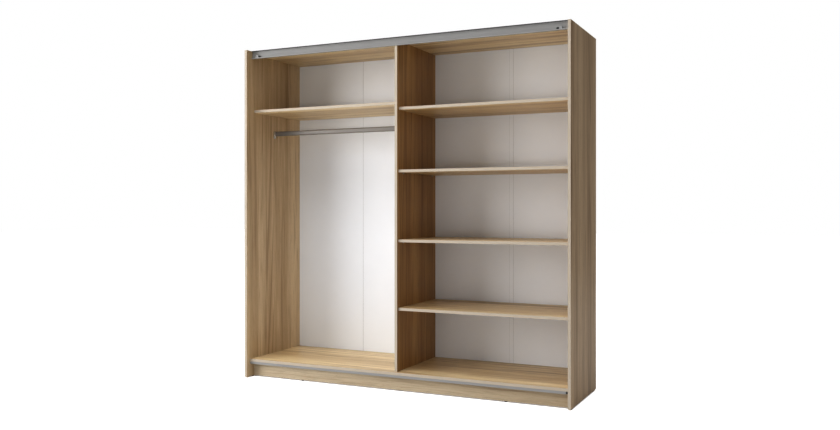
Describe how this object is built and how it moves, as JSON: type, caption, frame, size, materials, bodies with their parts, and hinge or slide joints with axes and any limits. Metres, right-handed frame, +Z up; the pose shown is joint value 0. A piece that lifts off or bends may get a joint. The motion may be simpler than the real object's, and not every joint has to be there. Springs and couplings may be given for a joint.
{
  "type": "sliding door wardrobe",
  "caption": "Open two-bay wardrobe carcass with a hanging rail and high shelf on one side, shelves on the other, and rails for sliding doors.",
  "frame": {"origin": "on the floor, under the middle of the footprint", "axes": "+X to the right seen from the front, +Y to the back, +Z up"},
  "size_m": [2.018, 0.584, 2],
  "materials": {
    "oak_board": "oak-look laminate, fine vertical or lengthwise grain, satin",
    "white_sheet": "thin hardboard, white lacquered",
    "white_strip": "extruded white plastic",
    "rail_aluminium": "matt anodised, drawn lengthwise",
    "rail_steel": "satin tube",
    "holder_chrome": "bright plated",
    "zinc_steel": "zinc plated",
    "black_plastic": "moulded",
    "grey_plastic": "moulded",
    "rubber": "matt"
  },
  "bodies": {
    "cabinet": {"back_joint_strip_left": "white_strip", "back_joint_strip_right": "white_strip", "back_panel_1": "white_sheet", "back_panel_2": "white_sheet", "back_panel_3": "white_sheet", "back_panel_4": "white_sheet", "bottom_panel": "oak_board", "bottom_rail": "rail_aluminium", "bottom_rail_end_plug": "black_plastic", "glide_plinth_centre": "black_plastic", "glide_plinth_front_left": "black_plastic", "glide_plinth_front_right": "black_plastic", "glide_plinth_rear_left": "black_plastic", "glide_plinth_rear_right": "black_plastic", "glide_side_left_front": "black_plastic", "glide_side_left_rear": "black_plastic", "glide_side_right_front": "black_plastic", "glide_side_right_rear": "black_plastic", "holder_screw_left_lower": "zinc_steel", "holder_screw_left_upper": "zinc_steel", "holder_screw_right_lower": "zinc_steel", "holder_screw_right_upper": "zinc_steel", "left_shelf": "oak_board", "partition_panel": "oak_board", "plinth_centre": "oak_board", "plinth_front": "oak_board", "plinth_rear": "oak_board", "rail_buffer_left": "rubber", "rail_buffer_right": "rubber", "rail_holder_left": "holder_chrome", "rail_holder_right": "holder_chrome", "rail_stop_left": "grey_plastic", "rail_stop_right": "grey_plastic", "rail_stop_screw_left": "zinc_steel", "rail_stop_screw_right": "zinc_steel", "right_shelf_1": "oak_board", "shelf_pin_2_left_front": "zinc_steel", "shelf_pin_2_left_rear": "zinc_steel", "shelf_pin_2_right_front": "zinc_steel", "shelf_pin_2_right_rear": "zinc_steel", "shelf_pin_3_left_front": "zinc_steel", "shelf_pin_3_left_rear": "zinc_steel", "shelf_pin_3_right_front": "zinc_steel", "shelf_pin_3_right_rear": "zinc_steel", "shelf_pin_4_left_front": "zinc_steel", "shelf_pin_4_left_rear": "zinc_steel", "shelf_pin_4_right_front": "zinc_steel", "shelf_pin_4_right_rear": "zinc_steel", "side_panel_left": "oak_board", "side_panel_right": "oak_board", "top_panel": "oak_board", "top_rail": "rail_aluminium"},
    "right_shelf_2": {"right_shelf_2": "oak_board"},
    "right_shelf_3": {"right_shelf_3": "oak_board"},
    "right_shelf_4": {"right_shelf_4": "oak_board"},
    "hanging_rail": {"hanging_rail": "rail_steel"}
  },
  "joints": [
    {"name": "right_shelf_2_slide", "type": "slide", "parent": "cabinet", "child": "right_shelf_2", "axis": [0, -1, 0], "range_m": [0, 0.2]},
    {"name": "right_shelf_3_slide", "type": "slide", "parent": "cabinet", "child": "right_shelf_3", "axis": [0, -1, 0], "range_m": [0, 0.2]},
    {"name": "right_shelf_4_slide", "type": "slide", "parent": "cabinet", "child": "right_shelf_4", "axis": [0, -1, 0], "range_m": [0, 0.2]},
    {"name": "hanging_rail_lift", "type": "slide", "parent": "cabinet", "child": "hanging_rail", "axis": [0, 0, 1], "range_m": [0, 0.04]}
  ]
}
